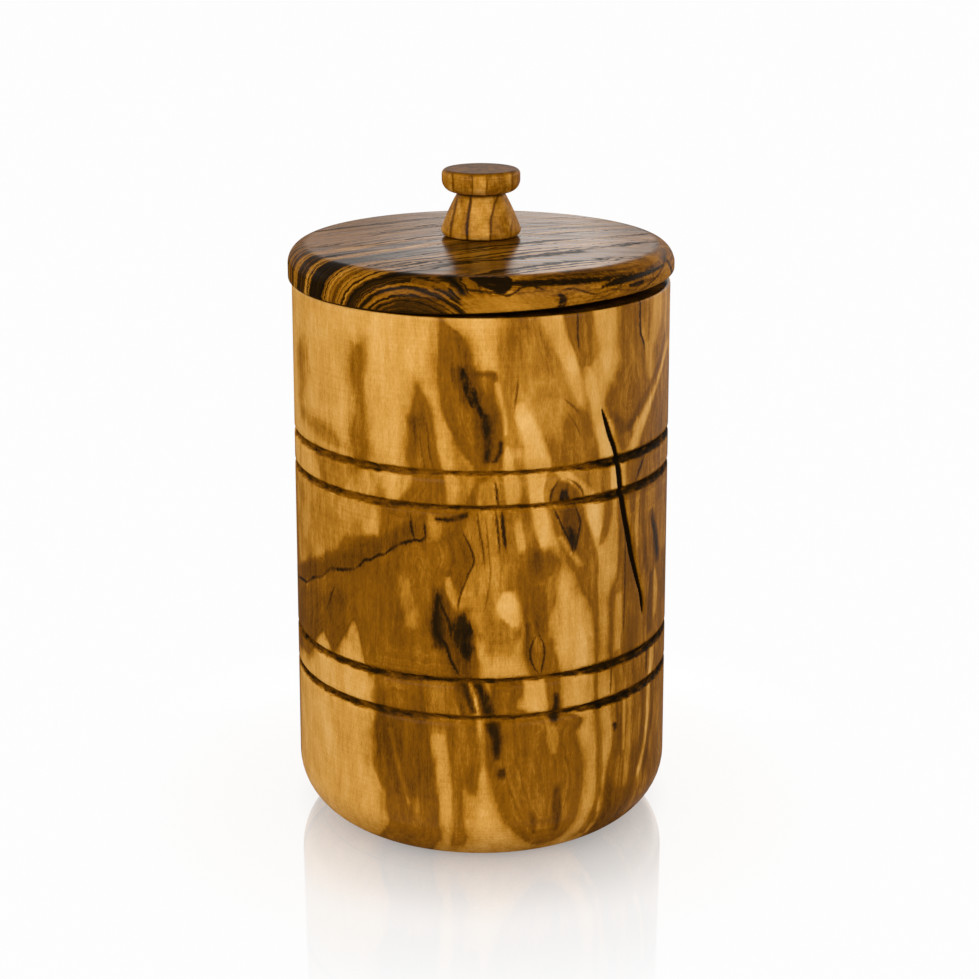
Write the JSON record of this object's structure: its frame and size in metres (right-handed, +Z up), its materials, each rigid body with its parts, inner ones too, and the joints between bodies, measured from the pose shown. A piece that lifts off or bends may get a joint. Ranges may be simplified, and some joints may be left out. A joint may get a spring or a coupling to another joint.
{
  "type": "salt keeper",
  "caption": "Turned olive-wood salt keeper: a tall round jar with paired grooves and a rounded foot, closed by a drop-in disc lid with a small mushroom knob.",
  "frame": {"origin": "centre of the jar's flat foot, on the surface that it stands on", "axes": "+Z up along the turning axis, -Y towards the viewer of the picture's front, +X to that viewer's right"},
  "size_m": [0.096, 0.096, 0.1668],
  "materials": {
    "jar_wood": "figured olive wood, vertical grain, satin oil varnish",
    "lid_wood": "dark-figured olive wood, grain across the disc, satin oil varnish",
    "knob_wood": "straight-grained olive wood, vertical grain, satin oil varnish",
    "dowel_wood": "plain bare hardwood"
  },
  "bodies": {
    "jar": {"jar_body": "jar_wood"},
    "lid": {"lid": "lid_wood", "knob": "knob_wood", "knob_dowel": "dowel_wood"}
  },
  "joints": [
    {"name": "lid_lift", "type": "slide", "parent": "jar", "child": "lid", "axis": [0, 0, 1], "range_m": [0, 0.07]}
  ]
}
